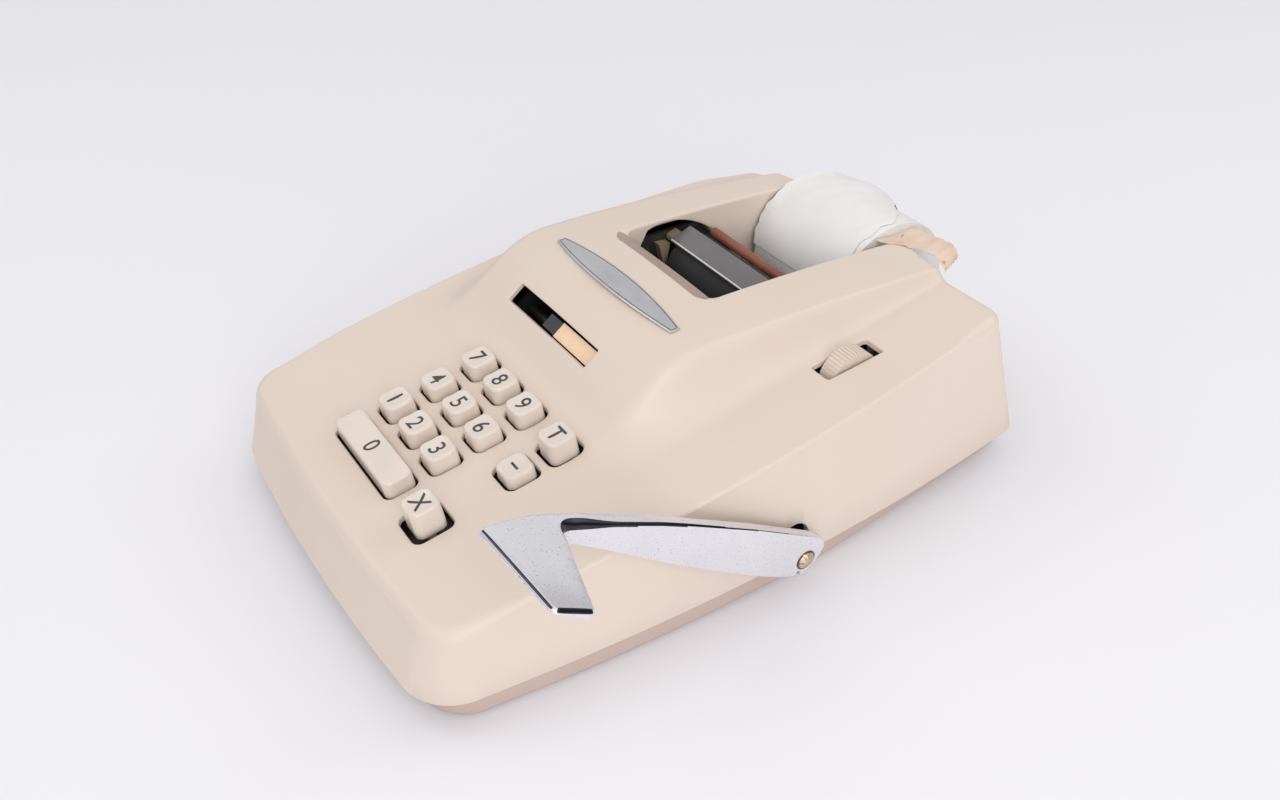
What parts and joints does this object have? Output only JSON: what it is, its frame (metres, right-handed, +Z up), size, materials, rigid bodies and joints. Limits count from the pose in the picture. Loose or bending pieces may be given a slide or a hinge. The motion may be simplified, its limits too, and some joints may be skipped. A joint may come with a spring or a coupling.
{
  "type": "printing adding machine",
  "caption": "Desk-top ten-key printing adding machine: beige casing with a raised printer hump, sprung keys, side pull lever, feed wheel and paper roll.",
  "frame": {"origin": "middle of the outside box, on the table under the rubber feet", "axes": "+X to the operator's right, +Y from the operator to the rear, +Z up"},
  "size_m": [0.2476, 0.3134, 0.1001],
  "materials": {
    "casing": "satin beige",
    "plate": "brushed, bare",
    "base": "pinkish tan paint",
    "rubber": "matte",
    "steel": "plain",
    "zinc": "zinc plated",
    "chrome": "worn chrome",
    "brass": "tarnished",
    "platen": "black rubber",
    "roller": "brown rubber",
    "smoked": "smoked clear",
    "tan": "tan",
    "ink": "inked felt",
    "dark": "black",
    "strip": "peach",
    "paper": "plain",
    "card": "plain",
    "tail": "aged",
    "keys": "glossy cream"
  },
  "bodies": {
    "machine": {"upper_casing": "casing", "nameplate": "plate", "base_tray": "base", "rubber_feet": "rubber", "case_screws": "steel", "frame_plate_left": "zinc", "frame_plate_right": "zinc", "tie_rods": "steel", "frame_screws": "steel", "key_guide_top": "zinc", "key_guide_bottom": "zinc", "guide_posts": "steel", "lever_bushes": "brass", "lever_bearing": "zinc", "shaft_bracket": "zinc", "print_cover": "smoked", "cover_brackets": "tan", "indicator_rail": "steel", "roll_spindle": "steel", "paper_tail": "tail", "pressure_shaft": "steel"},
    "key_0_unit": {"key_0": "keys"},
    "key_1_unit": {"key_1": "keys"},
    "key_2_unit": {"key_2": "keys"},
    "key_3_unit": {"key_3": "keys"},
    "key_4_unit": {"key_4": "keys"},
    "key_5_unit": {"key_5": "keys"},
    "key_6_unit": {"key_6": "keys"},
    "key_7_unit": {"key_7": "keys"},
    "key_8_unit": {"key_8": "keys"},
    "key_9_unit": {"key_9": "keys"},
    "key_total_unit": {"key_total": "keys"},
    "key_minus_unit": {"key_minus": "keys"},
    "key_repeat_unit": {"key_repeat": "keys"},
    "pull_lever": {"lever_arm": "chrome", "lever_shaft": "steel", "lever_screw": "brass", "lever_crank": "zinc"},
    "platen": {"platen_roller": "platen", "platen_shaft": "steel", "feed_wheel": "casing"},
    "pressure_unit": {"pressure_roller": "roller"},
    "type_unit": {"type_wheels": "zinc", "type_shaft": "steel"},
    "ink_unit": {"ink_roller": "ink", "ink_shaft": "steel"},
    "indicator": {"indicator_carriage": "dark", "indicator_strip": "strip"},
    "paper_supply": {"paper_roll": "paper", "paper_core": "card"}
  },
  "joints": [
    {"name": "key_0_press", "type": "slide", "parent": "machine", "child": "key_0_unit", "axis": [0, 0.1392, -0.9903], "range_m": [0, 0.004], "stiffness_N_per_m": 150, "springref_m": -0.004},
    {"name": "key_1_press", "type": "slide", "parent": "machine", "child": "key_1_unit", "axis": [0, 0.1392, -0.9903], "range_m": [0, 0.004], "stiffness_N_per_m": 150, "springref_m": -0.004},
    {"name": "key_2_press", "type": "slide", "parent": "machine", "child": "key_2_unit", "axis": [0, 0.1392, -0.9903], "range_m": [0, 0.004], "stiffness_N_per_m": 150, "springref_m": -0.004},
    {"name": "key_3_press", "type": "slide", "parent": "machine", "child": "key_3_unit", "axis": [0, 0.1392, -0.9903], "range_m": [0, 0.004], "stiffness_N_per_m": 150, "springref_m": -0.004},
    {"name": "key_4_press", "type": "slide", "parent": "machine", "child": "key_4_unit", "axis": [0, 0.1392, -0.9903], "range_m": [0, 0.004], "stiffness_N_per_m": 150, "springref_m": -0.004},
    {"name": "key_5_press", "type": "slide", "parent": "machine", "child": "key_5_unit", "axis": [0, 0.1392, -0.9903], "range_m": [0, 0.004], "stiffness_N_per_m": 150, "springref_m": -0.004},
    {"name": "key_6_press", "type": "slide", "parent": "machine", "child": "key_6_unit", "axis": [0, 0.1392, -0.9903], "range_m": [0, 0.004], "stiffness_N_per_m": 150, "springref_m": -0.004},
    {"name": "key_7_press", "type": "slide", "parent": "machine", "child": "key_7_unit", "axis": [0, 0.1392, -0.9903], "range_m": [0, 0.004], "stiffness_N_per_m": 150, "springref_m": -0.004},
    {"name": "key_8_press", "type": "slide", "parent": "machine", "child": "key_8_unit", "axis": [0, 0.1392, -0.9903], "range_m": [0, 0.004], "stiffness_N_per_m": 150, "springref_m": -0.004},
    {"name": "key_9_press", "type": "slide", "parent": "machine", "child": "key_9_unit", "axis": [0, 0.1392, -0.9903], "range_m": [0, 0.004], "stiffness_N_per_m": 150, "springref_m": -0.004},
    {"name": "key_total_press", "type": "slide", "parent": "machine", "child": "key_total_unit", "axis": [0, 0.1392, -0.9903], "range_m": [0, 0.004], "stiffness_N_per_m": 150, "springref_m": -0.004},
    {"name": "key_minus_press", "type": "slide", "parent": "machine", "child": "key_minus_unit", "axis": [0, 0.1392, -0.9903], "range_m": [0, 0.004], "stiffness_N_per_m": 150, "springref_m": -0.004},
    {"name": "key_repeat_press", "type": "slide", "parent": "machine", "child": "key_repeat_unit", "axis": [0, 0.1392, -0.9903], "range_m": [0, 0.004], "stiffness_N_per_m": 150, "springref_m": -0.004},
    {"name": "lever_pull", "type": "hinge", "parent": "machine", "child": "pull_lever", "pos_m": [0.0818, -0.00075, 0.017], "axis": [1, 0, 0], "range_deg": [0, 32], "stiffness_Nm_per_rad": 0.4, "springref_deg": -57.3},
    {"name": "platen_turn", "type": "hinge", "parent": "machine", "child": "platen", "pos_m": [-0.0218, 0.05225, 0.0573], "axis": [1, 0, 0], "continuous": true},
    {"name": "pressure_turn", "type": "hinge", "parent": "machine", "child": "pressure_unit", "pos_m": [-0.0218, 0.06475, 0.0694], "axis": [1, 0, 0], "continuous": true},
    {"name": "type_turn", "type": "hinge", "parent": "machine", "child": "type_unit", "pos_m": [-0.0218, 0.02385, 0.053], "axis": [1, 0, 0], "range_deg": [-10, 130]},
    {"name": "ink_turn", "type": "hinge", "parent": "machine", "child": "ink_unit", "pos_m": [-0.0218, 0.00785, 0.062], "axis": [1, 0, 0], "continuous": true},
    {"name": "indicator_step", "type": "slide", "parent": "machine", "child": "indicator", "axis": [-1, 0, 0], "range_m": [0, 0.024]},
    {"name": "paper_turn", "type": "hinge", "parent": "machine", "child": "paper_supply", "pos_m": [-0.0218, 0.12275, 0.0475], "axis": [1, 0, 0], "continuous": true}
  ],
  "couplings": [
    {"joint": "type_turn", "follows": "lever_pull", "ratio": 3.5}
  ]
}
